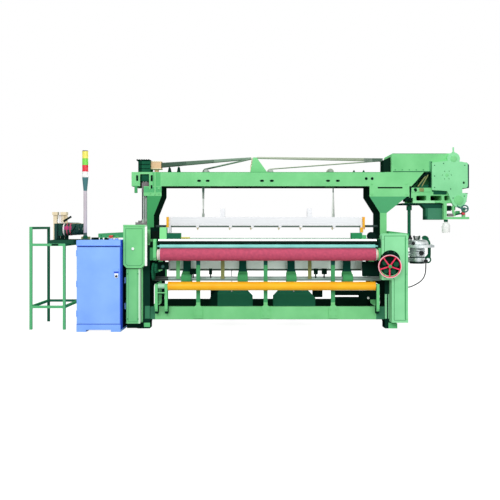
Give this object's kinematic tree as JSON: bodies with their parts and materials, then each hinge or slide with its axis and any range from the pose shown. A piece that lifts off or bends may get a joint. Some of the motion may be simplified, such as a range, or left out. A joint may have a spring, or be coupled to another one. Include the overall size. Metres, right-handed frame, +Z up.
{
  "type": "power loom",
  "caption": "Wide power loom with rapier weft insertion: side frames, rollers, sley with reed, heald frames, overhead arch with dobby, drive, weft stand and control cabinet.",
  "frame": {"origin": "middle of the four floor anchor holes in the side frames' feet, at floor level", "axes": "+Z up, +X along the breast beam towards the dobby end, +Y from the weaver's side to the back"},
  "size_m": [4.51, 1.53, 1.863],
  "materials": {
    "light_green_paint": "satin",
    "mid_green_paint": "satin",
    "dark_green_paint": "satin",
    "polished_steel": "satin",
    "blackened_steel": "matte",
    "cast_aluminium": "satin",
    "rail_aluminium": "satin",
    "red_roller_rubber": "matte",
    "blue_green_paint": "satin",
    "orange_paint": "gloss",
    "red_paint": "gloss",
    "cream_paint": "satin",
    "blue_paint": "satin",
    "grey_paint": "satin",
    "black_rubber": "matte",
    "red_plastic": "gloss",
    "green_plastic": "gloss",
    "lamp_plastic": "gloss",
    "clear_plastic": "satin"
  },
  "bodies": {
    "loom_frame": {"right_side_frame": "light_green_paint", "left_side_frame": "light_green_paint", "bottom_rails": "light_green_paint", "breast_beam": "light_green_paint", "breast_bar": "polished_steel", "breast_struts": "mid_green_paint", "roller_brackets": "mid_green_paint", "take_up_gearbox": "dark_green_paint", "right_cover": "light_green_paint", "left_upper_cover": "mid_green_paint", "left_lower_cover": "mid_green_paint", "heald_guides": "orange_paint", "undermotion_boxes": "mid_green_paint", "arch_beam": "light_green_paint", "left_arch_leg": "light_green_paint", "right_arch_leg": "light_green_paint", "lift_pulleys": "blackened_steel", "harness_cables": "polished_steel", "lift_wires": "polished_steel", "spring_block": "dark_green_paint", "spring_tubes": "blackened_steel", "rear_brackets": "mid_green_paint", "dobby_housing": "light_green_paint", "dobby_plate": "light_green_paint", "dobby_case": "light_green_paint", "oil_sump": "mid_green_paint", "drip_bottle": "clear_plastic", "clutch_housing": "cast_aluminium", "clutch_cable": "black_rubber", "drive_motor": "mid_green_paint", "drive_belt": "black_rubber", "rapier_covers": "mid_green_paint", "temples": "light_green_paint", "weft_stand": "mid_green_paint", "feeder_bodies": "cream_paint", "cabinet_body": "blue_paint", "lamp_pole": "grey_paint", "lamp_lenses": "lamp_plastic"},
    "sley": {"rocking_shaft": "polished_steel", "sley_swords": "mid_green_paint", "race_board": "mid_green_paint", "reed": "polished_steel", "reed_cap": "rail_aluminium"},
    "heald_1": {"heald_frame_1": "rail_aluminium"},
    "heald_2": {"heald_frame_2": "rail_aluminium"},
    "heald_3": {"heald_frame_3": "rail_aluminium"},
    "heald_4": {"heald_frame_4": "rail_aluminium"},
    "take_up": {"take_up_roller": "red_roller_rubber"},
    "press": {"press_roller": "blue_green_paint"},
    "hand_wheel": {"handwheel": "red_paint"},
    "cloth_beam": {"cloth_roller": "orange_paint"},
    "back_rest": {"back_rest_roller": "polished_steel"},
    "main_shaft": {"main_pulley": "cast_aluminium"},
    "motor_rotor": {"motor_pulley": "cast_aluminium"},
    "dobby_drive": {"dobby_shaft": "dark_green_paint"},
    "guide_wheel": {"dobby_wheel": "cast_aluminium"},
    "lever": {"clutch_lever": "dark_green_paint"},
    "door": {"cabinet_door": "blue_paint"},
    "stop_button": {"emergency_button": "red_plastic"},
    "run_button": {"start_button": "green_plastic"}
  },
  "joints": [
    {"name": "sley_rock", "type": "hinge", "parent": "loom_frame", "child": "sley", "pos_m": [0, -0.31, 0.488], "axis": [1, 0, 0], "range_deg": [0, 14]},
    {"name": "heald_lift_1", "type": "slide", "parent": "loom_frame", "child": "heald_1", "axis": [0, 0, 1], "range_m": [0, 0.09], "deforming": ["lift_wires"]},
    {"name": "heald_lift_2", "type": "slide", "parent": "loom_frame", "child": "heald_2", "axis": [0, 0, 1], "range_m": [0, 0.09], "deforming": ["lift_wires"]},
    {"name": "heald_lift_3", "type": "slide", "parent": "loom_frame", "child": "heald_3", "axis": [0, 0, 1], "range_m": [0, 0.09], "deforming": ["lift_wires"]},
    {"name": "heald_lift_4", "type": "slide", "parent": "loom_frame", "child": "heald_4", "axis": [0, 0, 1], "range_m": [0, 0.09], "deforming": ["lift_wires"]},
    {"name": "take_up_spin", "type": "hinge", "parent": "loom_frame", "child": "take_up", "pos_m": [0, -0.56, 0.75], "axis": [1, 0, 0], "continuous": true},
    {"name": "press_spin", "type": "hinge", "parent": "loom_frame", "child": "press", "pos_m": [0, -0.548, 0.83395], "axis": [1, 0, 0], "continuous": true},
    {"name": "handwheel_spin", "type": "hinge", "parent": "loom_frame", "child": "hand_wheel", "pos_m": [1.202, -0.7, 0.639], "axis": [0, 1, 0], "continuous": true},
    {"name": "cloth_roller_spin", "type": "hinge", "parent": "loom_frame", "child": "cloth_beam", "pos_m": [0, -0.56, 0.433], "axis": [1, 0, 0], "continuous": true},
    {"name": "back_rest_spin", "type": "hinge", "parent": "loom_frame", "child": "back_rest", "pos_m": [0, 0.56, 0.82], "axis": [1, 0, 0], "continuous": true},
    {"name": "main_shaft_spin", "type": "hinge", "parent": "loom_frame", "child": "main_shaft", "pos_m": [1.322, -0.2, 0.745], "axis": [1, 0, 0], "continuous": true},
    {"name": "motor_spin", "type": "hinge", "parent": "loom_frame", "child": "motor_rotor", "pos_m": [1.322, 0.4, 0.3], "axis": [1, 0, 0], "continuous": true},
    {"name": "dobby_shaft_spin", "type": "hinge", "parent": "loom_frame", "child": "dobby_drive", "pos_m": [1.52, -0.16, 1], "axis": [0, 0, 1], "continuous": true},
    {"name": "dobby_wheel_spin", "type": "hinge", "parent": "loom_frame", "child": "guide_wheel", "pos_m": [2.06, -0.33, 1.217], "axis": [0, 1, 0], "continuous": true},
    {"name": "clutch_lever_turn", "type": "hinge", "parent": "loom_frame", "child": "lever", "pos_m": [1.743, -0.058, 0.672], "axis": [0, 1, 0], "range_deg": [0, 10]},
    {"name": "cabinet_door_swing", "type": "hinge", "parent": "loom_frame", "child": "door", "pos_m": [-1.872, -0.74, 0.454], "axis": [0, 0, 1], "range_deg": [-110, 0]},
    {"name": "emergency_push", "type": "slide", "parent": "loom_frame", "child": "stop_button", "axis": [0, 0, 1], "range_m": [-0.004, 0], "stiffness_N_per_m": 400},
    {"name": "start_push", "type": "slide", "parent": "loom_frame", "child": "run_button", "axis": [0, 0, 1], "range_m": [-0.004, 0], "stiffness_N_per_m": 300}
  ],
  "couplings": [
    {"joint": "press_spin", "follows": "take_up_spin", "ratio": -2.9762},
    {"joint": "handwheel_spin", "follows": "take_up_spin", "ratio": 12},
    {"joint": "motor_spin", "follows": "main_shaft_spin", "ratio": 2.8},
    {"joint": "dobby_shaft_spin", "follows": "main_shaft_spin", "ratio": 0.5}
  ]
}
